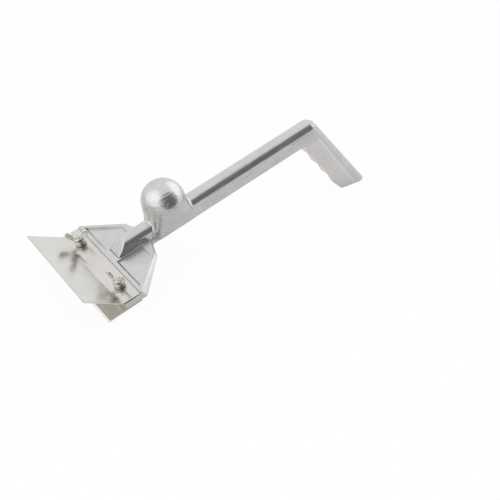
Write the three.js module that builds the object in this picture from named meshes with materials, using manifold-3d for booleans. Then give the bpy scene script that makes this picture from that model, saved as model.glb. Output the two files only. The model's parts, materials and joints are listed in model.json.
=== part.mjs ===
// Grill scraper: a cast handle with a ball knob and a pistol grip, screwed to a cast blade head.
// A bent guard plate lies on the head's lip and a flat blade under it, and two bolts with wing nuts
// clamp all three. Everything is drawn in millimetres along the head: x runs back from the cutting
// edge, y runs across and z rises from the blade's underside. The finished tool is then laid down on
// its cutting edge and its grip end, with +Z up and the origin under the middle of the object.
import * as THREE from 'three';
import { ConvexGeometry } from 'three/addons/geometries/ConvexGeometry.js';
import { mergeVertices } from 'three/addons/utils/BufferGeometryUtils.js';
import Module from 'manifold-3d';

// Gap between pieces that rest on, pass through or sit inside each other
const CLEARANCE = 0.3;

// Blade
const BLADE_WIDTH = 120;
const BLADE_DEPTH = 34.5;
const BLADE_THICKNESS = 1;
const BEVEL_LENGTH = 1.9;
const EDGE_THICKNESS = 0.15;
const SLOT_INSET = 22.8;
const SLOT_LENGTH = 10;
const SLOT_SETBACK = 7.5;

// Clamp bolts with a square neck under a domed head
const BOLT_DIAMETER = 5;
const BOLT_HEAD_DIAMETER = 13;
const BOLT_HEAD_HEIGHT = 2.8;
const BOLT_HEAD_EDGE = 0.7;
const BOLT_CHAMFER = 0.5;
const BOLT_END = 0.6;
const NECK_HEIGHT = 3.4;

// Washers and wing nuts
const FLAT_WASHER_DIAMETER = 10.5;
const FLAT_WASHER_THICKNESS = 0.9;
const SPRING_WASHER_DIAMETER = 9.2;
const SPRING_WASHER_THICKNESS = 1.2;
const SPRING_WASHER_SLIT = 1;
const HUB_FOOT_DIAMETER = 10.5;
const HUB_TOP_DIAMETER = 8.6;
const HUB_HEIGHT = 4.8;
const WING_SPAN = 21;
const WING_HEIGHT = 11.8;
const WING_THICKNESS = 1.8;
const WING_FOOT = 1.6;
const WING_ROUND = 2.4;
const LEFT_NUT_TURN = 19;
const RIGHT_NUT_TURN = 54;

// Head casting: a lip over the blade, then a plate with a raised rim that narrows to its tail
const LIP_AHEAD = 8;
const LIP_BEHIND = 8.6;
const PLATE_THICKNESS = 5.4;
const HEAD_INSET = 0.2;
const SIDE_DRAFT = 0.8;
const TAPER_DRAFT = 2.4;
const SHOULDER_LENGTH = 4.2;
const TAPER_LENGTH = 29.2;
const REAR_WIDTH = 62;
const TAIL_LENGTH = 6;
const TAIL_WIDTH = 28;
const TAIL_LIFT = 3.8;
const RIM_RISE = 1.8;
const RIM_WIDTH = 3.4;
const LAND_DEPTH = 3.4;
const LAND_SLOPE = 1.8;
const POCKET_DEPTH = 26.5;
const LEDGE_WIDTH = 1.8;

// Guard plate, bent up from the lip and a little narrower at its tip
const GUARD_INSET = 1.3;
const GUARD_THICKNESS = 1;
const FLANGE_LENGTH = 34.1;
const FLANGE_ANGLE = 41;
const FLANGE_TAPER = 2.1;
const BEND_RADIUS = 8;
const BEND_SETBACK = 2.2;

// Handle bar: flat sides and underside, half-round top, its front end cut to a ramp
const BAR_WIDTH = 16.4;
const BAR_SIDE = 12.3;
const BAR_DROP = 2;
const BAR_SETBACK = 6.8;
const BAR_LENGTH = 222.9;
const BAR_CHAMFER = 0.6;
const RAMP_ANGLE = 41.5;
const LAP_GAP = 1.3;

// Ball knob on its pedestal
const KNOB_DIAMETER = 40;
const KNOB_RISE = 11;
const PEDESTAL_LENGTH = 38.2;
const PEDESTAL_WIDTH = 26.4;
const PEDESTAL_RISE = 4.7;
const PEDESTAL_BAND = 3;
const CORNER_RISE = 14;
const CORNER_LEAN = 0.7;
const NOSE_GAP = 1.8;
const NOSE_LENGTH = 7;
const NOSE_WIDTH = 17.8;

// Pistol grip, with hollows for the fingers
const GRIP_SETBACK = 15.1;
const GRIP_ANGLE = 65.8;
const GRIP_LENGTH = 82.9;
const GRIP_DEPTH = 25.6;
const GRIP_CHAMFER = 1.2;
const GRIP_STEP = 4.7;
const FINGER_COUNT = 4;
const FINGER_START = -7.7;
const FINGER_PITCH = 21.2;
const FINGER_DEPTH = 1.6;

// Countersunk screws that hold the bar on the head, from below
const SCREW_DIAMETER = 5;
const SCREW_HEAD_DIAMETER = 9.2;
const SCREW_LENGTH = 13;
const SCREW_SOCKET = 3;
const SCREW_SOCKET_DEPTH = 1.8;
const SCREW_SETBACK = 12.3;
const SCREW_INSET = 6;

// Facets of round stretches
const ROUND_SEGMENTS = 32;
const ARCH_SEGMENTS = 36;
const BALL_SEGMENTS = 72;
const FINGER_SEGMENTS = 12;
const BEND_SEGMENTS = 8;

// Colours
const CAST_COLOUR = 0xc4c5c4;
const SATIN_COLOUR = 0xcbccca;
const SHEET_COLOUR = 0xd2cec9;
const BLADE_COLOUR = 0xbfbcb8;
const NICKEL_COLOUR = 0xb9b4aa;

// Heights of the stacked layers, from the blade's underside up
const headBase = BLADE_THICKNESS + CLEARANCE;
const floor = headBase + PLATE_THICKNESS;
const rim = floor + RIM_RISE;
const guardBase = floor + CLEARANCE;
const guardTop = guardBase + GUARD_THICKNESS;
const flatWasherBase = guardTop + CLEARANCE;
const springWasherBase = flatWasherBase + FLAT_WASHER_THICKNESS + CLEARANCE;
const nutBase = springWasherBase + SPRING_WASHER_THICKNESS + CLEARANCE;
const boltTop = nutBase + HUB_HEIGHT + BOLT_END;
const barFoot = floor + CLEARANCE;
const barBase = headBase - BAR_DROP;
const barShoulder = barBase + BAR_SIDE;
const barTop = barShoulder + BAR_WIDTH / 2;
const pedestalBase = barBase + PEDESTAL_RISE;

// Places along the tool, from the cutting edge back
const boltX = BLADE_DEPTH - SLOT_SETBACK;
const boltY = BLADE_WIDTH / 2 - SLOT_INSET;
const lipFront = boltX - LIP_AHEAD;
const seam = boltX + LIP_BEHIND;
const shoulder = seam + SHOULDER_LENGTH;
const rearCorner = shoulder + TAPER_LENGTH;
const tail = rearCorner + TAIL_LENGTH;
const barFront = seam + BAR_SETBACK;
const barRear = barFront + BAR_LENGTH;
const lapEnd = tail + LAP_GAP;
const noseFront = tail + NOSE_GAP;
const pedestalFront = noseFront + NOSE_LENGTH;
const pedestalBack = pedestalFront + PEDESTAL_LENGTH;
const knobX = (pedestalFront + pedestalBack) / 2;
const knobZ = barTop + KNOB_RISE;
const screwXs = [barFront + SCREW_SETBACK, lapEnd - SCREW_INSET];

// Half widths and bores that several pieces share
const halfHead = BLADE_WIDTH / 2 - HEAD_INSET;
const halfGuard = halfHead - GUARD_INSET;
const halfBar = BAR_WIDTH / 2;
const boltBore = BOLT_DIAMETER + 2 * CLEARANCE;
const screwBore = SCREW_DIAMETER + 2 * CLEARANCE;
const boltPlaces = [[boltX, boltY], [boltX, -boltY]];

// Room by which cutting blocks run past what they cut
const past = BAR_WIDTH;
const wide = BLADE_WIDTH;

const radians = THREE.MathUtils.degToRad;

// The grip's own directions: down along it, and across it towards its back
const gripDown = new THREE.Vector2(Math.cos(radians(GRIP_ANGLE)), -Math.sin(radians(GRIP_ANGLE)));
const gripBack = new THREE.Vector2(-gripDown.y, gripDown.x);
const gripInner = new THREE.Vector2(barRear - GRIP_SETBACK, barBase);

function onGrip(along, across) {
  return gripInner.clone().addScaledVector(gripDown, along).addScaledVector(gripBack, across);
}

// At rest the floor passes through the cutting edge and the front of the grip's end
const gripEnd = onGrip(GRIP_LENGTH, 0);
const restPitch = Math.atan2(-gripEnd.y, gripEnd.x);

const wasm = await Module();
wasm.setup();

// A solid from a closed geometry
function solid(geometry) {
  const bare = geometry.clone();
  bare.deleteAttribute('normal');
  bare.deleteAttribute('uv');
  const merged = mergeVertices(bare, 1e-4);
  return new wasm.Manifold(new wasm.Mesh({
    numProp: 3,
    vertProperties: new Float32Array(merged.attributes.position.array),
    triVerts: new Uint32Array(merged.index.array),
  }));
}

function named(name, body, colour, roughness) {
  const mesh = body.getMesh();
  const geometry = new THREE.BufferGeometry();
  geometry.setAttribute('position', new THREE.BufferAttribute(mesh.vertProperties, 3));
  geometry.setIndex(new THREE.BufferAttribute(mesh.triVerts, 1));
  geometry.computeVertexNormals();
  const material = new THREE.MeshStandardMaterial({ color: colour, roughness, metalness: 1 });
  const result = new THREE.Mesh(geometry, material);
  result.name = name;
  return result;
}

// A block between two corners
function block(low, high) {
  const size = high.map((value, axis) => value - low[axis]);
  const middle = high.map((value, axis) => (value + low[axis]) / 2);
  return solid(new THREE.BoxGeometry(...size).translate(...middle));
}

// A plan outline in x and y, raised from one height to another
function raised(outline, low, high) {
  const geometry = new THREE.ExtrudeGeometry(outline, {
    depth: high - low,
    bevelEnabled: false,
    curveSegments: ROUND_SEGMENTS / 2,
  });
  return solid(geometry.translate(0, 0, low));
}

// A side outline in x and z, as wide as given across y
function acrossGeometry(outline, width, segments) {
  const geometry = new THREE.ExtrudeGeometry(outline, {
    depth: width,
    bevelEnabled: false,
    curveSegments: segments,
  });
  return geometry.translate(0, 0, -width / 2).rotateX(Math.PI / 2);
}

function across(outline, width, segments = ROUND_SEGMENTS) {
  return solid(acrossGeometry(outline, width, segments));
}

// A profile of radius and height, turned about an upright axis at the given place
function turned(profile, x = 0, y = 0) {
  const points = profile.map(([radius, height]) => new THREE.Vector2(radius, height));
  const geometry = new THREE.LatheGeometry(points, ROUND_SEGMENTS);
  return solid(geometry.rotateX(Math.PI / 2).translate(x, y, 0));
}

function rod(diameter, low, high, x = 0, y = 0) {
  const radius = diameter / 2;
  return turned([[0, low], [radius, low], [radius, high], [0, high]], x, y);
}

function ring(outer, inner, low, high) {
  const [a, b] = [inner / 2, outer / 2];
  return turned([[a, low], [b, low], [b, high], [a, high], [a, low]]);
}

function polygon(points) {
  return new THREE.Shape(points.map(([x, y]) => new THREE.Vector2(x, y)));
}

function makeBlade() {
  const half = BLADE_WIDTH / 2;
  const plan = polygon([[0, -half], [BLADE_DEPTH, -half], [BLADE_DEPTH, half], [0, half]]);
  const slotHalf = boltBore / 2;
  const run = (SLOT_LENGTH - boltBore) / 2;
  for (const [x, y] of boltPlaces) {
    const slot = new THREE.Path();
    slot.absarc(x, y + run, slotHalf, 0, Math.PI, false);
    slot.absarc(x, y - run, slotHalf, Math.PI, 2 * Math.PI, false);
    slot.closePath();
    plan.holes.push(slot);
  }
  const bevel = polygon([
    [-past, EDGE_THICKNESS],
    [0, EDGE_THICKNESS],
    [BEVEL_LENGTH, BLADE_THICKNESS],
    [BEVEL_LENGTH, BLADE_THICKNESS + past],
    [-past, BLADE_THICKNESS + past],
  ]);
  return raised(plan, 0, BLADE_THICKNESS).subtract(across(bevel, 2 * wide));
}

function makeGuard() {
  const turn = radians(FLANGE_ANGLE);
  const centre = new THREE.Vector2(lipFront + BEND_SETBACK, guardTop + BEND_RADIUS);
  const outer = BEND_RADIUS + GUARD_THICKNESS;
  const up = new THREE.Vector2(-Math.cos(turn), Math.sin(turn));
  const down = new THREE.Vector2(-Math.sin(turn), -Math.cos(turn));
  const lowTip = centre.clone().addScaledVector(down, outer).addScaledVector(up, FLANGE_LENGTH);
  const highTip = centre.clone().addScaledVector(down, BEND_RADIUS).addScaledVector(up, FLANGE_LENGTH);
  const start = -Math.PI / 2;
  const outline = new THREE.Shape();
  outline.moveTo(seam - CLEARANCE, guardTop);
  outline.absarc(centre.x, centre.y, BEND_RADIUS, start, start - turn, true);
  outline.lineTo(highTip.x, highTip.y);
  outline.lineTo(lowTip.x, lowTip.y);
  outline.absarc(centre.x, centre.y, outer, start - turn, start, false);
  outline.lineTo(seam - CLEARANCE, guardBase);
  outline.closePath();
  let plate = across(outline, 2 * halfGuard, BEND_SEGMENTS);

  // The flange's sides run in from the bend to the tip
  const slope = FLANGE_TAPER / (centre.x - highTip.x);
  const end = highTip.x - past;
  for (const side of [1, -1]) {
    const trim = polygon([
      [centre.x, side * halfGuard],
      [end, side * (halfGuard - slope * (centre.x - end))],
      [end, side * wide],
      [centre.x, side * wide],
    ]);
    plate = plate.subtract(raised(trim, guardBase - past, highTip.y + past));
  }
  for (const [x, y] of boltPlaces) {
    plate = plate.subtract(rod(boltBore, guardBase - past, guardTop + past, x, y));
  }
  return plate;
}

function mirrored(half) {
  return [...half, ...half.map(([x, y]) => [x, -y]).reverse()];
}

// A convex outline with each edge drawn in by its own distance
function drawnIn(points, distances) {
  const edges = points.map((point, index) => {
    const next = points[(index + 1) % points.length];
    const along = new THREE.Vector2(next[0] - point[0], next[1] - point[1]).normalize();
    const inward = new THREE.Vector2(along.y, -along.x);
    return { start: new THREE.Vector2(...point).addScaledVector(inward, distances[index]), along };
  });
  return edges.map((edge, index) => {
    const before = edges[(index + edges.length - 1) % edges.length];
    const gap = edge.start.clone().sub(before.start);
    const reach = gap.cross(edge.along) / before.along.cross(edge.along);
    return before.start.clone().addScaledVector(before.along, reach).toArray();
  });
}

// A countersunk screw's form, fatter by the given play, from one height to another
function screwForm(play, low, high, x = 0) {
  const headRadius = (SCREW_HEAD_DIAMETER + play) / 2;
  const shankRadius = (SCREW_DIAMETER + play) / 2;
  const rimHeight = headBase + 2 * CLEARANCE;
  return turned([
    [0, low],
    [headRadius, low],
    [headRadius, rimHeight],
    [shankRadius, rimHeight + headRadius - shankRadius],
    [shankRadius, high],
    [0, high],
  ], x);
}

function makeHead() {
  const foot = mirrored([
    [lipFront, halfHead],
    [shoulder, halfHead],
    [rearCorner, REAR_WIDTH / 2],
    [tail, TAIL_WIDTH / 2],
  ]);
  const side = SIDE_DRAFT;
  const top = drawnIn(foot, [side, TAPER_DRAFT, side, side, side, TAPER_DRAFT, side, 0]);
  const corners = [
    ...foot.map(([x, y]) => new THREE.Vector3(x, y, headBase + (x > shoulder ? TAIL_LIFT : 0))),
    ...top.map(([x, y]) => new THREE.Vector3(x, y, rim)),
  ];
  const pocketFront = seam + LAND_DEPTH;
  const pocketBack = pocketFront + POCKET_DEPTH;
  const rib = block([pocketFront, -halfBar, headBase], [lapEnd - CLEARANCE, halfBar, floor]);
  let head = solid(new ConvexGeometry(corners)).add(rib);

  // The guard's seat on the lip, the groove that the bar lies in and a pocket on each side of it
  const grooveHalf = halfBar + CLEARANCE;
  const ledge = grooveHalf + LEDGE_WIDTH;
  const inside = raised(polygon(drawnIn(top, top.map(() => RIM_WIDTH))), floor, rim + past);
  const lean = LAND_SLOPE / RIM_RISE;
  const way = across(polygon([
    [pocketFront + LAND_SLOPE, floor],
    [pocketBack, floor],
    [pocketBack, rim + past],
    [pocketFront - lean * past, rim + past],
  ]), 2 * wide);
  const middleLow = [pocketFront - lean * past, -ledge, floor - past];
  const middle = block(middleLow, [pocketBack + past, ledge, rim + 2 * past]);
  head = head
    .subtract(block([lipFront - past, -wide, floor], [seam, wide, rim + past]))
    .subtract(block([barFront - CLEARANCE, -grooveHalf, floor], [tail + past, grooveHalf, rim + past]))
    .subtract(inside.intersect(way).subtract(middle));

  const neckHalf = boltBore / 2;
  for (const [x, y] of boltPlaces) {
    const low = [x - neckHalf, y - neckHalf, headBase - past];
    const high = [x + neckHalf, y + neckHalf, floor + past];
    head = head.subtract(block(low, high));
  }
  for (const x of screwXs) {
    head = head.subtract(screwForm(2 * CLEARANCE, headBase - past, floor + past, x));
  }
  return head;
}

function makeScrew() {
  const low = headBase + CLEARANCE;
  const socketRadius = SCREW_SOCKET / Math.sqrt(3);
  const socket = new THREE.CylinderGeometry(socketRadius, socketRadius, 2 * SCREW_SOCKET_DEPTH, 6);
  const recess = solid(socket.rotateX(Math.PI / 2).translate(0, 0, low));
  return screwForm(0, low, low + SCREW_LENGTH).subtract(recess);
}

// The section of the bar and the grip: flat sides with a half-round back, run along a length, and
// the two corners of its flat face cut off by the given chamfer
function arch(sideHeight, length, chamfer) {
  const section = new THREE.Shape();
  section.moveTo(chamfer - halfBar, 0);
  section.lineTo(halfBar - chamfer, 0);
  section.lineTo(halfBar, chamfer);
  section.absarc(0, sideHeight, halfBar, 0, Math.PI, false);
  section.lineTo(-halfBar, chamfer);
  section.closePath();
  return new THREE.ExtrudeGeometry(section, {
    depth: length,
    bevelEnabled: false,
    curveSegments: ARCH_SEGMENTS,
  });
}

function makeBar() {
  const acrossAxis = new THREE.Vector3(0, 1, 0);
  const upAxis = new THREE.Vector3(0, 0, 1);
  const backAxis = new THREE.Vector3(1, 0, 0);
  const place = new THREE.Matrix4().makeBasis(acrossAxis, upAxis, backAxis);
  place.setPosition(barFront, 0, barBase);
  const rampRun = (barTop + past - rim) / Math.tan(radians(RAMP_ANGLE));
  const rampCut = polygon([
    [barFront - past, rim],
    [barFront, rim],
    [barFront + rampRun, barTop + past],
    [barFront - past, barTop + past],
  ]);
  const bar = solid(arch(BAR_SIDE, BAR_LENGTH, BAR_CHAMFER).applyMatrix4(place));
  return bar.subtract(across(rampCut, 2 * wide));
}

function makeKnob() {
  const ball = new THREE.SphereGeometry(KNOB_DIAMETER / 2, BALL_SEGMENTS, BALL_SEGMENTS / 2);
  ball.rotateX(Math.PI / 2).translate(knobX, 0, knobZ);
  const places = ball.attributes.position;
  const points = [];
  for (let index = 0; index < places.count; index += 1) {
    points.push(new THREE.Vector3().fromBufferAttribute(places, index));
  }
  const halfFoot = PEDESTAL_WIDTH / 2;
  const cornerTop = pedestalBase + CORNER_RISE;
  const halfLean = CORNER_LEAN / 2;
  for (const side of [1, -1]) {
    for (const [x, lean] of [[pedestalFront, CORNER_LEAN], [pedestalBack, -CORNER_LEAN]]) {
      points.push(new THREE.Vector3(x, side * halfFoot, pedestalBase));
      points.push(new THREE.Vector3(x, side * halfFoot, pedestalBase + PEDESTAL_BAND));
      points.push(new THREE.Vector3(x + lean, side * (halfFoot - CORNER_LEAN), cornerTop));
    }
  }

  // The nose runs forward from the pedestal's front corners to the sides of the bar
  const nose = [];
  for (const side of [1, -1]) {
    nose.push(new THREE.Vector3(noseFront, side * NOSE_WIDTH / 2, pedestalBase));
    nose.push(new THREE.Vector3(pedestalFront - NOSE_LENGTH / 2, side * halfBar, barShoulder));
    nose.push(new THREE.Vector3(pedestalFront, side * halfFoot, pedestalBase));
    nose.push(new THREE.Vector3(pedestalFront, side * halfFoot, pedestalBase + PEDESTAL_BAND));
    nose.push(new THREE.Vector3(pedestalFront + halfLean, side * (halfFoot - halfLean), barShoulder));
    nose.push(new THREE.Vector3(pedestalFront + NOSE_LENGTH, side * halfFoot, pedestalBase));
    nose.push(new THREE.Vector3(pedestalFront + NOSE_LENGTH, side * halfBar, barShoulder));
  }
  return solid(new ConvexGeometry(points)).add(solid(new ConvexGeometry(nose)));
}

function makeGrip() {
  const above = (barTop - GRIP_STEP - barBase) / Math.sin(radians(GRIP_ANGLE)) + GRIP_DEPTH;
  const below = FINGER_START + FINGER_COUNT * FINGER_PITCH + GRIP_DEPTH;
  const outline = new THREE.Shape();
  outline.moveTo(...onGrip(-above, 0).toArray());
  outline.lineTo(...onGrip(FINGER_START, 0).toArray());
  for (let finger = 0; finger < FINGER_COUNT; finger += 1) {
    const begin = FINGER_START + finger * FINGER_PITCH;
    const hollow = onGrip(begin + FINGER_PITCH / 2, 2 * FINGER_DEPTH);
    const end = onGrip(begin + FINGER_PITCH, 0);
    outline.quadraticCurveTo(hollow.x, hollow.y, end.x, end.y);
  }
  outline.lineTo(...onGrip(below, 0).toArray());
  outline.lineTo(...onGrip(below, GRIP_DEPTH).toArray());
  outline.lineTo(...onGrip(-above, GRIP_DEPTH).toArray());
  outline.closePath();
  const slab = across(outline, BAR_WIDTH, FINGER_SEGMENTS);

  // The rounded back: the same arch as the bar, run down the grip
  const start = onGrip(-above - past, 0);
  const acrossAxis = new THREE.Vector3(0, 1, 0);
  const backAxis = new THREE.Vector3(gripBack.x, 0, gripBack.y);
  const downAxis = new THREE.Vector3(gripDown.x, 0, gripDown.y);
  const place = new THREE.Matrix4().makeBasis(acrossAxis, backAxis, downAxis);
  place.setPosition(start.x, 0, start.y);
  const section = arch(GRIP_DEPTH - halfBar, above + below + 2 * past, GRIP_CHAMFER);
  const rounded = solid(section.applyMatrix4(place));

  // Cut level with the floor below, a step under the bar's top above, and no wider than the bar
  const under = new THREE.Vector2(-Math.sin(restPitch), -Math.cos(restPitch)).multiplyScalar(2 * GRIP_LENGTH);
  const near = gripEnd.clone().multiplyScalar(1 / 2);
  const far = gripEnd.clone().multiplyScalar(2);
  const floorCut = polygon([
    near.clone().add(under).toArray(),
    far.clone().add(under).toArray(),
    far.toArray(),
    near.toArray(),
  ]);
  const high = onGrip(-above, GRIP_DEPTH).y + past;
  const topCut = block([0, -wide, barTop - GRIP_STEP], [barRear + 2 * GRIP_LENGTH, wide, high]);
  const barCut = block([0, -wide, barShoulder], [barRear, wide, high]);
  return slab.intersect(rounded)
    .subtract(across(floorCut, 2 * wide))
    .subtract(topCut)
    .subtract(barCut);
}

function makeHandle() {
  const lap = block([barFront - past, -wide, barBase - past], [lapEnd, wide, barFoot]);
  let handle = makeBar().add(makeKnob()).add(makeGrip()).subtract(lap);
  const screwTop = headBase + SCREW_LENGTH + 2 * CLEARANCE;
  for (const x of screwXs) {
    handle = handle.subtract(rod(screwBore, barBase - past, screwTop, x));
  }
  return handle;
}

function makeBolt() {
  const headTop = -CLEARANCE;
  const radius = BOLT_HEAD_DIAMETER / 2;
  const edgeLow = headTop - BOLT_HEAD_EDGE;
  const dome = [];
  for (let step = 0; step <= BEND_SEGMENTS; step += 1) {
    const angle = (step / BEND_SEGMENTS) * Math.PI / 2;
    const drop = (BOLT_HEAD_HEIGHT - BOLT_HEAD_EDGE) * Math.cos(angle);
    dome.push([radius * Math.sin(angle), edgeLow - drop]);
  }
  const head = turned([...dome, [radius, headTop], [0, headTop]]);
  const half = BOLT_DIAMETER / 2;
  const neck = block([-half, -half, edgeLow], [half, half, headTop + NECK_HEIGHT]);
  const shank = turned([
    [0, headTop],
    [half, headTop],
    [half, boltTop - BOLT_CHAMFER],
    [half - BOLT_CHAMFER, boltTop],
    [0, boltTop],
  ]);
  return head.add(neck).add(shank);
}

function makeFlatWasher() {
  return ring(FLAT_WASHER_DIAMETER, boltBore, flatWasherBase, flatWasherBase + FLAT_WASHER_THICKNESS);
}

function makeSpringWasher() {
  const top = springWasherBase + SPRING_WASHER_THICKNESS;
  const half = SPRING_WASHER_SLIT / 2;
  const slit = block([0, -half, springWasherBase - past], [SPRING_WASHER_DIAMETER, half, top + past]);
  return ring(SPRING_WASHER_DIAMETER, boltBore, springWasherBase, top).subtract(slit);
}

function makeWingNut() {
  const footRadius = HUB_FOOT_DIAMETER / 2;
  const topRadius = HUB_TOP_DIAMETER / 2;
  const tip = WING_SPAN / 2;
  const hub = turned([[0, 0], [footRadius, 0], [topRadius, HUB_HEIGHT], [0, HUB_HEIGHT]]);
  const wing = new THREE.Shape();
  wing.moveTo(0, WING_FOOT);
  wing.lineTo(footRadius, WING_FOOT);
  wing.quadraticCurveTo(tip, HUB_HEIGHT, tip, WING_HEIGHT - WING_ROUND);
  wing.quadraticCurveTo(tip, WING_HEIGHT, tip - WING_ROUND, WING_HEIGHT);
  wing.quadraticCurveTo(topRadius, WING_HEIGHT, topRadius, HUB_HEIGHT);
  wing.lineTo(0, HUB_HEIGHT);
  wing.closePath();
  const right = solid(acrossGeometry(wing, WING_THICKNESS, FINGER_SEGMENTS));
  const left = solid(acrossGeometry(wing, WING_THICKNESS, FINGER_SEGMENTS).rotateZ(Math.PI));
  return hub.add(right).add(left).subtract(rod(boltBore, -past, WING_HEIGHT + past));
}

// The scraper as it is put together, still along the head
const tool = new THREE.Group();
tool.add(named('handle_casting', makeHandle(), CAST_COLOUR, 0.42));
tool.add(named('head_casting', makeHead(), SATIN_COLOUR, 0.38));
tool.add(named('guard_plate', makeGuard(), SHEET_COLOUR, 0.22));
tool.add(named('scraper_blade', makeBlade(), BLADE_COLOUR, 0.2));

screwXs.forEach((x, index) => {
  const screw = named(['handle_screw_front', 'handle_screw_rear'][index], makeScrew(), NICKEL_COLOUR, 0.3);
  screw.position.x = x;
  tool.add(screw);
});

const clamps = [
  { side: 'right', y: boltY, turn: RIGHT_NUT_TURN },
  { side: 'left', y: -boltY, turn: LEFT_NUT_TURN },
];
for (const { side, y, turn } of clamps) {
  const clamp = new THREE.Group();
  clamp.position.set(boltX, y, 0);
  clamp.add(named(`clamp_bolt_${side}`, makeBolt(), NICKEL_COLOUR, 0.3));
  clamp.add(named(`flat_washer_${side}`, makeFlatWasher(), NICKEL_COLOUR, 0.3));
  clamp.add(named(`spring_washer_${side}`, makeSpringWasher(), NICKEL_COLOUR, 0.35));
  const nut = named(`wing_nut_${side}`, makeWingNut(), NICKEL_COLOUR, 0.28);
  nut.position.z = nutBase;
  nut.rotation.z = radians(turn) - Math.PI / 2;
  clamp.add(nut);
  tool.add(clamp);
}

// Laid down on its cutting edge and grip end, and centred over the origin
const scraper = new THREE.Group();
tool.rotation.y = -restPitch;
scraper.add(tool);
scraper.updateMatrixWorld(true);
const box = new THREE.Box3().setFromObject(scraper, true);
tool.position.set(-(box.min.x + box.max.x) / 2, 0, -box.min.z);

export default scraper;
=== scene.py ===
"""Looks of the grill scraper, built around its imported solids.

Meshes are drawn in the tool's own frame in millimetres (x back from the cutting edge, y across, z up
from the blade's underside) and then laid into the part's frame, which is in metres.
"""
import json
import math

import bmesh
import bpy
import numpy as np
from mathutils import Matrix, Vector


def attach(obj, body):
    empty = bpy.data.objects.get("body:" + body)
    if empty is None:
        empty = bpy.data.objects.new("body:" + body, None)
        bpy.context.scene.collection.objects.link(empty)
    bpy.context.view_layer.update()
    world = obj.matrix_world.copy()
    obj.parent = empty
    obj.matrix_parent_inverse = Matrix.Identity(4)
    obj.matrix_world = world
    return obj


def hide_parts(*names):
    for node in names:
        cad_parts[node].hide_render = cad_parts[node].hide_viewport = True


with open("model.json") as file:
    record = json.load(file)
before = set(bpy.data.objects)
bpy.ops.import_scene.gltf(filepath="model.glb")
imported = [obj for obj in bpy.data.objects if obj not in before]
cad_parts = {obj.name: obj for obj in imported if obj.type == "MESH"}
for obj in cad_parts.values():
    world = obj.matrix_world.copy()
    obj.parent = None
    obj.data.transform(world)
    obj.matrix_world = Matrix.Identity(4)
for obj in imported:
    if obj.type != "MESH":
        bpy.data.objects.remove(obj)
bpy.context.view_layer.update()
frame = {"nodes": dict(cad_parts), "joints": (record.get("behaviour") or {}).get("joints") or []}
nodes = frame["nodes"]

# Places in the tool's frame, in millimetres
MM = 0.001
BOLT_X, BOLT_Y, NUT_FOOT = 27.0, 37.2, 11.0
SIDES = (("right", 1), ("left", -1))
NUT_ANGLES = {"right": math.radians(54 - 90), "left": math.radians(19 - 90)}
PEDESTAL_FRONT, PEDESTAL_BACK, PEDESTAL_FOOT = 83.9, 121.6, 4.0
BAR_FOOT, BAR_SHOULDER, BAR_HALF = -0.7, 11.6, 8.2
KNOB, KNOB_RADIUS = (102.9, 0, 30.8), 20.0
RIM, LEDGE_Y = 8.5, 10.3
GRIP_CREASE, CREASE_ANGLE = (266.07, 0, 6.43), math.radians(68.0)
GRIP_BACK = (math.sin(CREASE_ANGLE), 0, math.cos(CREASE_ANGLE))

turn_joint = {joint["name"]: joint for joint in frame["joints"]}["nut_right_turn"]
tool_up = Vector(turn_joint["axis"]).normalized()
tool_across = Vector((0, 1, 0))
tool_back = tool_across.cross(tool_up)
tool_turn = Matrix((tool_back, tool_across, tool_up)).transposed()
tool_origin = Vector(turn_joint["pos_m"]) - tool_turn @ Vector((BOLT_X, BOLT_Y, NUT_FOOT)) * MM
FROM_TOOL = Matrix.Translation(tool_origin) @ tool_turn.to_4x4() @ Matrix.Scale(MM, 4)
TO_TOOL = FROM_TOOL.inverted()
PITCH = math.atan2(tool_back.z, tool_back.x)
TURNED = Matrix.Rotation(PITCH, 4, "Y")


# Meshes

def mesh_of(vertices, faces, name="form"):
    mesh = bpy.data.meshes.new(name)
    mesh.from_pydata([tuple(v) for v in vertices], [], faces)
    mesh.update()
    return mesh


def tube_faces(rows, count):
    """The faces of a tube of rows with count vertices each, shut at both ends."""
    faces = []
    for row in range(rows - 1):
        low, high = row * count, (row + 1) * count
        for corner in range(count):
            after = (corner + 1) % count
            faces.append((low + corner, low + after, high + after, high + corner))
    faces.append(tuple(range(count)))
    faces.append(tuple(range((rows - 1) * count, rows * count)))
    return faces


def finished(form, name):
    """The mesh of an edited form, which is freed."""
    mesh = bpy.data.meshes.new(name)
    form.to_mesh(mesh)
    form.free()
    return mesh


def joined(meshes):
    """Several meshes as one."""
    form = bmesh.new()
    for mesh in meshes:
        form.from_mesh(mesh)
    return finished(form, "joined")


def evaluated(mesh, set_up):
    """The mesh after the modifiers that set_up adds."""
    helper = bpy.data.objects.new("helper", mesh)
    bpy.context.scene.collection.objects.link(helper)
    set_up(helper)
    graph = bpy.context.evaluated_depsgraph_get()
    result = bpy.data.meshes.new_from_object(helper.evaluated_get(graph))
    bpy.data.objects.remove(helper)
    return result


def remeshed(mesh, voxel):
    def set_up(helper):
        grid = helper.modifiers.new("grid", "REMESH")
        grid.mode = "VOXEL"
        grid.voxel_size = voxel
        grid.adaptivity = 0.0
    return evaluated(mesh, set_up)


def united(first, second):
    other = bpy.data.objects.new("other", second)
    bpy.context.scene.collection.objects.link(other)

    def set_up(helper):
        union = helper.modifiers.new("union", "BOOLEAN")
        union.operation = "UNION"
        union.solver = "EXACT"
        union.object = other
    result = evaluated(first, set_up)
    bpy.data.objects.remove(other)
    return result


def places_of(mesh):
    places = np.empty(len(mesh.vertices) * 3)
    mesh.vertices.foreach_get("co", places)
    return places.reshape(-1, 3)


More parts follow.
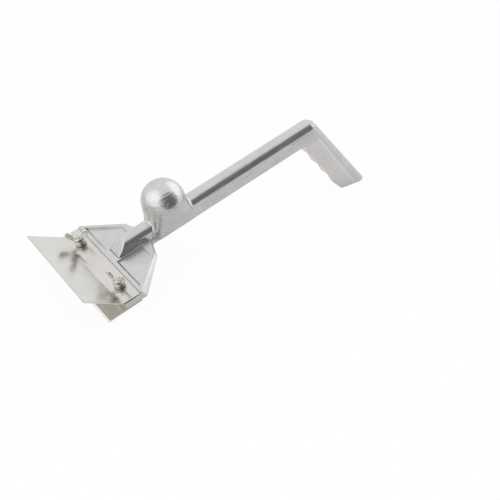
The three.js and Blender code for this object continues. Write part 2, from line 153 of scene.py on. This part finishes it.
def relax(mesh, rounds, weight=None, fill=False):
    """Draws each vertex towards the mean of its neighbours, which rounds the edges off.

    With fill, a vertex only moves outwards, so inner corners fill up and outer edges stay.
    """
    places = places_of(mesh)
    count = len(places)
    pairs = np.empty(len(mesh.edges) * 2, dtype=np.int64)
    mesh.edges.foreach_get("vertices", pairs)
    first, second = pairs.reshape(-1, 2).T
    ends = np.concatenate((first, second))
    others = np.concatenate((second, first))
    degree = np.bincount(ends, minlength=count)[:, None]
    share = 0.5 if weight is None else 0.5 * weight[:, None]
    normals = np.empty(count * 3)
    for _ in range(rounds):
        sums = [np.bincount(ends, places[others, axis], count) for axis in range(3)]
        step = share * (np.stack(sums, 1) / degree - places)
        if fill:
            mesh.vertices.foreach_get("normal", normals)
            step *= ((step * normals.reshape(-1, 3)).sum(1) > 0)[:, None]
        places += step
        mesh.vertices.foreach_set("co", places.ravel())
        mesh.update()


def drawn_to(mesh, centre, axis, radius, slack):
    """Puts vertices that lie near a ball, or near a round bar along an axis, exactly on it."""
    places = places_of(mesh)
    away = places - np.array(centre)
    away -= np.outer(away @ np.array(axis), axis)
    reach = np.linalg.norm(away, axis=1)
    near = np.abs(reach - radius) < slack
    if any(axis):
        near &= places[:, 2] > centre[2]
    places[near] += away[near] * (radius / reach[near] - 1)[:, None]
    mesh.vertices.foreach_set("co", places.ravel())
    mesh.update()


def in_tool(node):
    """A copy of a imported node's mesh, in the tool's frame, with shared vertices merged."""
    mesh = nodes[node].data.copy()
    mesh.transform(TO_TOOL)
    form = bmesh.new()
    form.from_mesh(mesh)
    bmesh.ops.remove_doubles(form, verts=form.verts, dist=1e-4)
    form.to_mesh(mesh)
    form.free()
    return mesh


def bevelled(mesh, offset, segments=2, sharp=30, wide=None):
    """The mesh with flat stretches merged into single faces and its sharp edges rounded.

    Wide is a test of an edge and a larger offset for the edges that pass it.
    """
    form = bmesh.new()
    form.from_mesh(mesh)
    bmesh.ops.dissolve_limit(
        form, angle_limit=math.radians(0.5), verts=form.verts, edges=form.edges)

    def sharp_edges():
        return [edge for edge in form.edges
                if len(edge.link_faces) == 2 and edge.calc_face_angle(0.0) > math.radians(sharp)]

    def round_off(edges, size):
        bmesh.ops.bevel(form, geom=edges, offset=size, segments=segments, profile=0.5,
                        affect="EDGES", clamp_overlap=True)

    if wide:
        test, larger = wide
        round_off([edge for edge in sharp_edges() if test(edge)], larger)
    round_off(sharp_edges(), offset)
    bmesh.ops.triangulate(form, faces=[face for face in form.faces if len(face.verts) > 4])
    return finished(form, "bevelled")


def lathe(profile, segments=48):
    """A closed profile of radius and height, turned about the z axis. A radius of 0 is a point there."""
    vertices, faces, rows = [], [], []
    for radius, height in profile:
        if radius == 0:
            rows.append([len(vertices)] * segments)
            vertices.append((0, 0, height))
            continue
        rows.append(list(range(len(vertices), len(vertices) + segments)))
        for step in range(segments):
            angle = 2 * math.pi * step / segments
            vertices.append((radius * math.cos(angle), radius * math.sin(angle), height))
    closed = profile[0][0] != 0
    pairs = list(zip(rows, rows[1:] + rows[:1])) if closed else list(zip(rows, rows[1:]))
    for low, high in pairs:
        for step in range(segments):
            after = (step + 1) % segments
            corners = []
            for corner in (low[step], low[after], high[after], high[step]):
                if corner not in corners:
                    corners.append(corner)
            if len(corners) > 2:
                faces.append(corners)
    return mesh_of(vertices, faces)


def rounded_ring(inner, outer, low, high, edge, steps=3):
    """The section of a ring with rounded corners."""
    section = []
    for x, z, start in ((outer - edge, low + edge, -90), (outer - edge, high - edge, 0),
                        (inner + edge, high - edge, 90), (inner + edge, low + edge, 180)):
        for step in range(steps + 1):
            angle = math.radians(start + 90 * step / steps)
            section.append((x + edge * math.cos(angle), z + edge * math.sin(angle)))
    return section


def threaded(radius, low, high, pitch, depth, chamfer, segments=32):
    """A rod with a right-hand screw thread, chamfered at its top."""
    count = int((high - low) / (pitch / 8))
    vertices, faces = [(0, 0, low)], []
    for row in range(count + 1):
        z = low + (high - low) * row / count
        fade = min(1.0, (z - low) / pitch)
        for step in range(segments):
            angle = 2 * math.pi * step / segments
            phase = (z / pitch - angle / (2 * math.pi)) % 1.0
            cut = depth * fade * (1 - abs(2 * phase - 1))
            reach = min(radius - cut, radius - chamfer * max(0.0, 1 - (high - z) / chamfer))
            vertices.append((reach * math.cos(angle), reach * math.sin(angle), z))
    vertices.append((0, 0, high))
    last = len(vertices) - 1
    top = 1 + count * segments
    for step in range(segments):
        after = (step + 1) % segments
        faces.append((0, 1 + after, 1 + step))
        faces.append((last, top + step, top + after))
        for row in range(count):
            base = 1 + row * segments
            faces.append((base + step, base + after, base + segments + after, base + segments + step))
    return mesh_of(vertices, faces)


def cushion(outline, middle, layers):
    """A closed outline in x and z, swollen across y: each layer is a share of its size at a half depth."""
    rows = [(share, -depth) for share, depth in reversed(layers)] + list(layers)
    vertices = []
    for share, y in rows:
        for x, z in outline:
            vertices.append((middle[0] + share * (x - middle[0]), y, middle[1] + share * (z - middle[1])))
    return mesh_of(vertices, tube_faces(len(rows), len(outline)))


def bent(start, control, end, steps):
    """Points of a quadratic curve after its start."""
    points = []
    for step in range(1, steps + 1):
        t = step / steps
        points.append(tuple((1 - t) ** 2 * a + 2 * t * (1 - t) * b + t * t * c
                            for a, b, c in zip(start, control, end)))
    return points


def facing_out(mesh):
    form = bmesh.new()
    form.from_mesh(mesh)
    bmesh.ops.recalc_face_normals(form, faces=form.faces)
    form.to_mesh(mesh)
    form.free()
    return mesh


# Materials

class Nodes:
    """A material's node tree, with short calls to add and link nodes."""

    def __init__(self, name):
        self.material = bpy.data.materials.new(name)
        self.material.use_nodes = True
        self.tree = self.material.node_tree
        self.shader = self.tree.nodes["Principled BSDF"]
        coordinates = self.add("ShaderNodeTexCoord")
        self.along = self.add("ShaderNodeMapping")
        self.along.inputs["Rotation"].default_value = (0, PITCH, 0)
        self.link(coordinates.outputs["Object"], self.along.inputs["Vector"])

    def add(self, kind, **values):
        node = self.tree.nodes.new(kind)
        for name, value in values.items():
            setattr(node, name, value)
        return node

    def link(self, output, entry):
        self.tree.links.new(output, entry)

    def noise(self, scale, detail=2.0, roughness=0.5):
        """Noise with its own number of cells to the metre along the tool, across it and up."""
        stretch = self.add("ShaderNodeMapping")
        stretch.inputs["Scale"].default_value = scale
        self.link(self.along.outputs["Vector"], stretch.inputs["Vector"])
        noise = self.add("ShaderNodeTexNoise")
        noise.inputs["Scale"].default_value = 1.0
        noise.inputs["Detail"].default_value = detail
        noise.inputs["Roughness"].default_value = roughness
        self.link(stretch.outputs["Vector"], noise.inputs["Vector"])
        return noise.outputs["Fac"]

    def between(self, value, low, high, start=0.3, end=0.7):
        spread = self.add("ShaderNodeMapRange")
        spread.inputs["From Min"].default_value = start
        spread.inputs["From Max"].default_value = end
        spread.inputs["To Min"].default_value = low
        spread.inputs["To Max"].default_value = high
        self.link(value, spread.inputs["Value"])
        return spread.outputs["Result"]

    def near(self, place, inner, outer):
        """1 within the inner distance of a place in the tool's frame, and 0 beyond the outer one."""
        away = self.add("ShaderNodeVectorMath", operation="DISTANCE")
        away.inputs[1].default_value = TURNED @ FROM_TOOL @ Vector(place)
        self.link(self.along.outputs["Vector"], away.inputs[0])
        return self.between(away.outputs["Value"], 1.0, 0.0, inner * MM, outer * MM)

    def before(self, axis, place, spread=0.2, most=1.0):
        """The value of most before a place along an axis of the tool's frame, and 0 past it.

        The change spreads that many millimetres to each side of the place.
        """
        dot = self.add("ShaderNodeVectorMath", operation="DOT_PRODUCT")
        dot.inputs[1].default_value = axis
        self.link(self.along.outputs["Vector"], dot.inputs[0])
        edge = (TURNED @ FROM_TOOL @ Vector(place)).dot(Vector(axis))
        return self.between(dot.outputs["Value"], most, 0.0, edge - spread * MM, edge + spread * MM)

    def both(self, first, second):
        product = self.add("ShaderNodeMath", operation="MULTIPLY")
        self.link(first, product.inputs[0])
        self.link(second, product.inputs[1])
        return product.outputs["Value"]

    def recoloured(self, mask, colour):
        """Takes the base colour to another one where the mask is 1."""
        entry = self.shader.inputs["Base Color"]
        mix = self.add("ShaderNodeMix", data_type="RGBA")
        mix.inputs["B"].default_value = (*colour, 1)
        self.link(entry.links[0].from_socket, mix.inputs["A"])
        self.link(mask, mix.inputs["Factor"])
        self.link(mix.outputs["Result"], entry)

    def plus(self, first, second, share):
        """First plus a share of second."""
        total = self.add("ShaderNodeMath", operation="MULTIPLY_ADD")
        total.inputs[1].default_value = share
        self.link(second, total.inputs[0])
        self.link(first, total.inputs[2])
        return total.outputs["Value"]

    def tinted(self, value, dark, light):
        """The base colour, from dark to light with the value."""
        mix = self.add("ShaderNodeMix", data_type="RGBA")
        mix.inputs["A"].default_value = (*dark, 1)
        mix.inputs["B"].default_value = (*light, 1)
        self.link(self.between(value, 0.0, 1.0), mix.inputs["Factor"])
        self.link(mix.outputs["Result"], self.shader.inputs["Base Color"])

    def rough(self, value, low, high, start=0.3, end=0.7):
        self.link(self.between(value, low, high, start, end), self.shader.inputs["Roughness"])

    def bump(self, height, distance):
        bump = self.add("ShaderNodeBump")
        bump.inputs["Distance"].default_value = distance
        bump.inputs["Strength"].default_value = 1.0
        self.link(height, bump.inputs["Height"])
        self.link(bump.outputs["Normal"], self.shader.inputs["Normal"])


CAST_BUMP, SHEET_BUMP, PLATE_BUMP = 0.00003, 0.000004, 0.000015
# Painted light on the handle: painted shade ahead of the pedestal's front, lighter flat sides on the grip
# and a painted highlight along the grip's crease.
NOSE_SHADE_PLACES, NOSE_SHADE_COLOUR = ((82.0, -12.0, 8.5), (82.0, 12.0, 8.5)), (0.53, 0.53, 0.525)
GRIP_SIDE_LIGHT_COLOUR, CREASE_HIGHLIGHT_COLOUR = (0.715, 0.685, 0.67), (0.77, 0.765, 0.76)
KNOB_LINES = 14.0


def cast_metal(name, dark, light, rough, streak_size, grain, wave, scar, extras=None):
    """Tumbled and polished casting: streaks along the tool, a fine grain, slow waves and some scratches.

    Extras adds what only one casting shows, painted light among it, and gives back the bump's height with
    it.
    """
    made = Nodes(name)
    made.shader.inputs["Metallic"].default_value = 1.0
    streaks = made.noise(streak_size, detail=3.0)
    grains = made.noise((2600, 2600, 2600), detail=2.0)
    waves = made.noise((30, 180, 180), detail=1.0)
    patches = made.noise((45, 60, 60), detail=4.0, roughness=0.65)
    scars = made.between(made.noise((42, 520, 520), detail=1.0), 0.0, 1.0, 0.63, 0.70)
    made.tinted(patches, dark, light)
    made.rough(made.plus(streaks, scars, 0.15), *rough)
    height = made.plus(made.plus(streaks, grains, grain), waves, wave)
    height = made.plus(height, scars, -scar)
    if extras:
        height = extras(made, height)
    made.bump(height, CAST_BUMP)
    return made.material


def handle_painted_light_and_lines(made, height):
    """The handle's painted light and marks: painted shade on two places ahead of the pedestal's front, the
    grip's flat sides painted lighter with a painted highlight along the crease, and lines on the ball.

    Hand polishing left the lines.
    """
    # Painted shade: two places ahead of the pedestal's front, in the corner by the nose, are drawn darker.
    in_front = made.before((1, 0, 0), (PEDESTAL_FRONT, 0, 0))
    for place in NOSE_SHADE_PLACES:
        made.recoloured(made.both(made.near(place, 2.5, 6.0), in_front), NOSE_SHADE_COLOUR)
    # Painted light: the grip's flat sides, up to the crease, are drawn lighter than its round back.
    on_grip = made.before((0, 0, 1), (0, 0, BAR_FOOT), 0.5)
    side = made.before(GRIP_BACK, GRIP_CREASE, 0.3, 0.7)
    made.recoloured(made.both(side, on_grip), GRIP_SIDE_LIGHT_COLOUR)
    # Painted highlight: a lighter band along the crease between the grip's flat side and its round back.
    over_crease = made.before(GRIP_BACK, GRIP_CREASE, 1.6)
    rising = made.between(over_crease, 0.0, 1.0, 0.0, 0.5)
    falling = made.between(over_crease, 1.0, 0.0, 0.5, 1.0)
    made.recoloured(made.both(made.both(rising, falling), on_grip), CREASE_HIGHLIGHT_COLOUR)
    lines = made.between(made.noise((36, 420, 420), detail=2.0), -0.5, 0.5, 0.0, 1.0)
    return made.plus(height, made.both(lines, made.near(KNOB, 20.3, 24.0)), KNOB_LINES)


def sheet_metal(name, dark, light, rough, lines):
    """Rolled sheet with fine lines."""
    made = Nodes(name)
    made.shader.inputs["Metallic"].default_value = 1.0
    fine = made.noise(lines, detail=2.0)
    clouds = made.noise((35, 35, 35), detail=3.0, roughness=0.6)
    made.tinted(clouds, dark, light)
    made.rough(made.plus(fine, clouds, 0.6), *rough, start=0.5, end=1.1)
    made.bump(fine, SHEET_BUMP)
    return made.material


def plated(name, dark, light, rough):
    """Bright plating over a slightly uneven base."""
    made = Nodes(name)
    made.shader.inputs["Metallic"].default_value = 1.0
    specks = made.noise((900, 900, 900), detail=3.0)
    slow = made.noise((300, 300, 300), detail=2.0)
    made.tinted(slow, dark, light)
    made.rough(specks, *rough)
    made.bump(made.plus(specks, slow, 1.5), PLATE_BUMP)
    return made.material


HANDLE = cast_metal("cast_handle", (0.56, 0.56, 0.555), (0.66, 0.66, 0.655), (0.16, 0.3),
                    (80, 1000, 1000), 0.25, 3.5, 2.4, handle_painted_light_and_lines)
HEAD = cast_metal("cast_head", (0.57, 0.575, 0.57), (0.65, 0.655, 0.65), (0.26, 0.4),
                  (400, 900, 900), 0.5, 0.5, 0.12)
GUARD = sheet_metal("guard_sheet", (0.645, 0.63, 0.6), (0.705, 0.69, 0.66), (0.2, 0.3),
                    (60, 2500, 2500))
BLADE = sheet_metal("blade_steel", (0.80, 0.745, 0.70), (0.87, 0.815, 0.77), (0.16, 0.28),
                    (1800, 60, 1800))
PLATED = plated("plated_fastener", (0.52, 0.5, 0.465), (0.64, 0.615, 0.58), (0.1, 0.22))
NICKEL = plated("plated_nut", (0.62, 0.595, 0.555), (0.74, 0.715, 0.68), (0.06, 0.15))


def flat_faces_lead(helper):
    """Lets large faces set the shading of the rounded edges beside them, so that they look flat."""
    lead = helper.modifiers.new("lead", "WEIGHTED_NORMAL")
    lead.weight = 100
    lead.keep_sharp = True


def piece(name, mesh, body, material, node, sharp=None):
    """A finished mesh of the tool's frame, laid into the part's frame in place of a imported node."""
    mesh.transform(FROM_TOOL)
    mesh.materials.clear()
    mesh.materials.append(material)
    mesh.polygons.foreach_set("use_smooth", [True] * len(mesh.polygons))
    if sharp is not None:
        mesh.set_sharp_from_angle(angle=math.radians(sharp))
        mesh = evaluated(mesh, flat_faces_lead)
    made = bpy.data.objects.new(name, mesh)
    bpy.context.scene.collection.objects.link(made)
    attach(made, body)
    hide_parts(node)


# Castings, with rounded edges and fillets

def collar(wall, radius, outwards, start):
    """The fillet around the bar at a wall of the pedestal: the bar's section, growing towards the wall.

    It grows in over 40 degrees of the bar's round top, from the start angle up.
    """
    steps, turns = 10, 24
    overlap, sunk, grows_over = 1.5, 0.2, 40

    def reach(growth, degrees):
        share = min(1.0, max(0.0, (min(degrees, 180 - degrees) - start) / grows_over))
        return BAR_HALF - sunk + (growth + sunk) * share

    rows = [(wall - outwards * overlap, radius)]
    for step in range(steps + 1):
        angle = math.radians(90 - 90 * step / steps)
        rows.append((wall + outwards * radius * (1 - math.sin(angle)), radius * (1 - math.cos(angle))))
    vertices = []
    for x, growth in rows:
        vertices.append((x, reach(growth, 0), PEDESTAL_FOOT))
        for turn in range(turns + 1):
            degrees = 180 * turn / turns
            angle, out = math.radians(degrees), reach(growth, degrees)
            vertices.append((x, out * math.cos(angle), BAR_SHOULDER + out * math.sin(angle)))
        vertices.append((x, -reach(growth, 180), PEDESTAL_FOOT))
    return facing_out(mesh_of(vertices, tube_faces(len(rows), turns + 3)))


def web(side):
    """The casting's flow from the nose up the pedestal's front corner to the top of the bar."""
    form = bmesh.new()
    for x, y, z in ((79.4, 8.0, 10.6), (84.2, 12.9, 8.0), (84.45, 12.55, 17.6), (85.6, 5.5, 21.8),
                    (88.0, 8.0, 8.0), (88.0, 11.0, 18.0), (88.0, 5.0, 20.0)):
        form.verts.new((x, side * y, z))
    bmesh.ops.convex_hull(form, input=form.verts)
    return facing_out(finished(form, "web"))


def pedestal_front(places):
    """1 on the front of the pedestal, between the nose, the bar and the ball, and 0 away from it."""
    x, y, z = places.T
    off_bar = np.hypot(y, np.maximum(z - BAR_SHOULDER, 0)) - BAR_HALF
    weight = np.ones(len(places))
    for ramp in ((x - 79) / 3, (95 - x) / 5, (z - 9) / 4, (31 - z) / 7, (off_bar - 0.5) / 1.5):
        weight *= np.clip(ramp, 0, 1)
    return weight


def make_handle():
    front, back = collar(PEDESTAL_FRONT, 2.6, -1, 20), collar(PEDESTAL_BACK, 4.4, 1, -40)
    mesh = remeshed(joined([in_tool("handle_casting"), front, back, web(1), web(-1)]), 0.4)
    relax(mesh, 2)
    relax(mesh, 6, fill=True)
    relax(mesh, 70, weight=pedestal_front(places_of(mesh)))
    drawn_to(mesh, KNOB, (0, 0, 0), KNOB_RADIUS, 0.12)
    drawn_to(mesh, (0, 0, BAR_SHOULDER), (1, 0, 0), BAR_HALF, 0.12)
    relax(mesh, 1)
    piece("handle", mesh, "scraper", HANDLE, "handle_casting")


def make_head():
    def worn_rim(edge):
        """Between the rim's top and a side that leans in, or along the bar's groove."""
        low, high = sorted(face.normal.z for face in edge.link_faces)
        if high < 0.95 or low > 0.6 or min(v.co.z for v in edge.verts) < RIM - 0.1:
            return False
        return low > 0.05 or all(abs(abs(v.co.y) - LEDGE_Y) < 0.1 for v in edge.verts)

    mesh = bevelled(in_tool("head_casting"), 0.3, 3, wide=(worn_rim, 0.8))
    piece("blade_head", mesh, "scraper", HEAD, "head_casting", sharp=40)


# Sheets

def make_sheets():
    guard = bevelled(in_tool("guard_plate"), 0.16, 2)
    piece("guard", guard, "scraper", GUARD, "guard_plate", sharp=35)
    blade = bevelled(in_tool("scraper_blade"), 0.07, 2)
    piece("blade", blade, "blade", BLADE, "scraper_blade", sharp=12)


# Fasteners

def make_bolt():
    rim_radius, rim_foot, dome_depth, steps = 6.5, -1.0, 2.1, 8
    dome = [(0, rim_foot - dome_depth)]
    for step in range(1, steps + 1):
        angle = math.radians(90 * step / steps)
        dome.append((rim_radius * math.sin(angle), rim_foot - dome_depth * math.cos(angle)))
    head = lathe([*dome, (rim_radius, -0.45), (6.35, -0.3), (0, -0.3)])
    neck = bmesh.new()
    bmesh.ops.create_cube(neck, size=1.0, matrix=Matrix.Translation((0, 0, 1.15))
                          @ Matrix.Diagonal((5, 5, 3.9, 1)))
    bmesh.ops.bevel(neck, geom=neck.edges, offset=0.3, segments=3, profile=0.5, affect="EDGES")
    square = finished(neck, "neck")
    shank = threaded(radius=2.5, low=2.2, high=16.4, pitch=0.8, depth=0.42, chamfer=0.5)
    return united(united(facing_out(head), facing_out(square)), facing_out(shank))


def make_spring_washer():
    """A square wire coiled almost once round, with its two cut ends a little apart in height."""
    section = rounded_ring(2.85, 4.6, -0.6, 0.6, 0.12)
    middle, rise, half_gap, steps = 10.1, 0.16, math.radians(6.2), 72
    vertices = []
    for step in range(steps + 1):
        share = step / steps
        angle = half_gap + share * (2 * math.pi - 2 * half_gap)
        lift = middle + rise * (share - 0.5)
        for radius, height in section:
            vertices.append((radius * math.cos(angle), radius * math.sin(angle), lift + height))
    return facing_out(mesh_of(vertices, tube_faces(steps + 1, len(section))))


def make_wing_nut():
    hub = [(2.78, 0.0), (5.0, 0.0), (5.2, 0.15), (5.2, 0.75), (5.0, 0.95), (4.75, 1.05)]
    hub += [(4.45, 3.6), (4.3, 4.2), (4.15, 4.6), (3.8, 4.8), (3.2, 4.8), (2.78, 4.45)]
    outline = [(3.3, 1.6), (5.2, 1.7)]
    outline += bent((5.2, 1.7), (10.4, 4.8), (10.5, 9.2), 10)
    outline += bent((10.5, 9.2), (10.5, 11.8), (8.8, 11.8), 6)
    outline += bent((8.8, 11.8), (4.9, 11.8), (4.2, 4.9), 10)
    outline += [(3.3, 4.6)]
    ear = cushion(outline, (7.2, 6.8), ((1.0, 0.4), (0.975, 0.78), (0.92, 0.97), (0.86, 1.0)))
    other = ear.copy()
    other.transform(Matrix.Rotation(math.pi, 4, "Z"))
    whole = joined([facing_out(lathe(hub)), facing_out(ear), facing_out(other)])
    mesh = remeshed(whole, 0.15)
    relax(mesh, 2)
    return mesh


def make_fasteners():
    bolt, spring, nut = make_bolt(), make_spring_washer(), make_wing_nut()
    flat = facing_out(lathe(rounded_ring(2.8, 5.25, 8.3, 9.2, 0.18)))
    for side, sign in SIDES:
        place = Matrix.Translation((BOLT_X, sign * BOLT_Y, 0))
        turned = place @ Matrix.Translation((0, 0, NUT_FOOT)) @ Matrix.Rotation(NUT_ANGLES[side], 4, "Z")
        rows = (
            ("bolt", bolt, "scraper", "plated_fastener", PLATED, "clamp_bolt", place, 40),
            ("washer", flat, "scraper", "plated_fastener", PLATED, "flat_washer", place, None),
            ("lock_washer", spring, "nut_carrier_" + side, "plated_fastener", PLATED,
             "spring_washer", place, None),
            ("nut", nut, "nut_" + side, "plated_nut", NICKEL, "wing_nut", turned, None),
        )
        for name, mesh, body, slot, material, node, matrix, sharp in rows:
            copy = mesh.copy()
            copy.transform(matrix)
            piece(f"{name}_{side}", copy, body, material, f"{node}_{side}", sharp)
    for name in ("handle_screw_front", "handle_screw_rear"):
        nodes[name].data.materials.clear()
        nodes[name].data.materials.append(PLATED)


# Stage: floor, studio light and camera. White is the share of white background that the camera sees and
# the share that reflections show. A patch of sky has its azimuth, elevation, inner and outer angle, and
# its strength outside and inside.

FLOOR_HALF, FLOOR_FRONT, FLOOR_DROP, PAPER = 6.0, -0.17, 0.0001, (0.76, 0.76, 0.76, 1)
FLOOR_WHITE, WORLD_WHITE = (0.96, 0.3), (1.0, 0.17)
SKY, DARK_FRONT = (90, 40, 20, 120, 0.86, 1.0), (-82, 16, 27, 52, 1.0, 0.03)
SOFT_BOXES = ((178, 24, 12, 50, 0.0, 0.65), (3, 22, 14, 46, 0.0, 0.65))
CAMERA_PLACE, CAMERA_AIM = (-0.3825, -0.5965, 0.4935), (0.0018, -0.0425, 0.0)
SENSOR, LENS = 36.0, 64.8


def background_share(tree, seen, reflected):
    """The share of white background: one for rays from the camera or through glass, one in reflections."""
    path = tree.nodes.new("ShaderNodeLightPath")
    direct = tree.nodes.new("ShaderNodeMath")
    direct.operation = "ADD"
    tree.links.new(path.outputs["Is Camera Ray"], direct.inputs[0])
    tree.links.new(path.outputs["Is Transmission Ray"], direct.inputs[1])
    mirrored = tree.nodes.new("ShaderNodeMath")
    mirrored.operation = "MULTIPLY"
    mirrored.inputs[1].default_value = reflected
    tree.links.new(path.outputs["Is Glossy Ray"], mirrored.inputs[0])
    total = tree.nodes.new("ShaderNodeMath")
    total.operation = "MULTIPLY_ADD"
    total.use_clamp = True
    total.inputs[1].default_value = seen
    tree.links.new(direct.outputs["Value"], total.inputs[0])
    tree.links.new(mirrored.outputs["Value"], total.inputs[2])
    return total.outputs["Value"]


def make_floor():
    corners = [(-FLOOR_HALF, FLOOR_FRONT, 0), (FLOOR_HALF, FLOOR_FRONT, 0),
               (FLOOR_HALF, FLOOR_HALF, 0), (-FLOOR_HALF, FLOOR_HALF, 0)]
    mesh = mesh_of(corners, [(0, 1, 2, 3)], "floor")
    floor = bpy.data.objects.new("floor", mesh)
    floor.location.z = -FLOOR_DROP
    bpy.context.scene.collection.objects.link(floor)
    material = bpy.data.materials.new("floor")
    material.use_nodes = True
    tree = material.node_tree
    tree.nodes.clear()
    output = tree.nodes.new("ShaderNodeOutputMaterial")
    mix = tree.nodes.new("ShaderNodeMixShader")
    paper = tree.nodes.new("ShaderNodeBsdfDiffuse")
    paper.inputs["Color"].default_value = PAPER
    white = tree.nodes.new("ShaderNodeEmission")
    tree.links.new(background_share(tree, *FLOOR_WHITE), mix.inputs["Fac"])
    tree.links.new(paper.outputs["BSDF"], mix.inputs[1])
    tree.links.new(white.outputs["Emission"], mix.inputs[2])
    tree.links.new(mix.outputs["Shader"], output.inputs["Surface"])
    mesh.materials.append(material)


def direction(azimuth, elevation):
    azimuth, elevation = math.radians(azimuth), math.radians(elevation)
    level = math.cos(elevation)
    return (level * math.cos(azimuth), level * math.sin(azimuth), math.sin(elevation))


def make_world():
    """A pale studio with a soft box on each side and a dark stretch in front, white to the camera."""
    world = bpy.data.worlds.new("studio")
    bpy.context.scene.world = world
    world.use_nodes = True
    tree = world.node_tree
    tree.nodes.clear()
    output = tree.nodes.new("ShaderNodeOutputWorld")
    background = tree.nodes.new("ShaderNodeBackground")
    coordinates = tree.nodes.new("ShaderNodeTexCoord")

    def lobe(azimuth, elevation, inner, outer, low, high):
        """A round patch of sky: high inside the inner angle, low outside the outer one."""
        dot = tree.nodes.new("ShaderNodeVectorMath")
        dot.operation = "DOT_PRODUCT"
        dot.inputs[1].default_value = direction(azimuth, elevation)
        tree.links.new(coordinates.outputs["Generated"], dot.inputs[0])
        spread = tree.nodes.new("ShaderNodeMapRange")
        spread.interpolation_type = "SMOOTHSTEP"
        spread.inputs["From Min"].default_value = math.cos(math.radians(outer))
        spread.inputs["From Max"].default_value = math.cos(math.radians(inner))
        spread.inputs["To Min"].default_value = low
        spread.inputs["To Max"].default_value = high
        tree.links.new(dot.outputs["Value"], spread.inputs["Value"])
        return spread.outputs["Result"]

    def combined(operation, first, second):
        node = tree.nodes.new("ShaderNodeMath")
        node.operation = operation
        tree.links.new(first, node.inputs[0])
        tree.links.new(second, node.inputs[1])
        return node.outputs["Value"]

    total = lobe(*SKY)
    for patch in SOFT_BOXES:
        total = combined("ADD", total, lobe(*patch))
    total = combined("MULTIPLY", total, lobe(*DARK_FRONT))
    mix = tree.nodes.new("ShaderNodeMix")
    mix.inputs["B"].default_value = 1.0
    tree.links.new(background_share(tree, *WORLD_WHITE), mix.inputs["Factor"])
    tree.links.new(total, mix.inputs["A"])
    tree.links.new(mix.outputs["Result"], background.inputs["Strength"])
    tree.links.new(background.outputs["Background"], output.inputs["Surface"])
    background.inputs["Color"].default_value = (1, 1, 1, 1)


def make_camera():
    camera = bpy.data.objects.new("camera", bpy.data.cameras.new("camera"))
    camera.data.sensor_width = SENSOR
    camera.data.lens = LENS
    camera.data.clip_start = 0.01
    camera.location = CAMERA_PLACE
    aim = Vector(CAMERA_AIM) - camera.location
    camera.rotation_euler = aim.to_track_quat("-Z", "Y").to_euler()
    bpy.context.scene.collection.objects.link(camera)
    bpy.context.scene.camera = camera


make_camera()
make_handle()
make_head()
make_sheets()
make_fasteners()
make_floor()
make_world()
bpy.context.scene.view_settings.view_transform = "Standard"
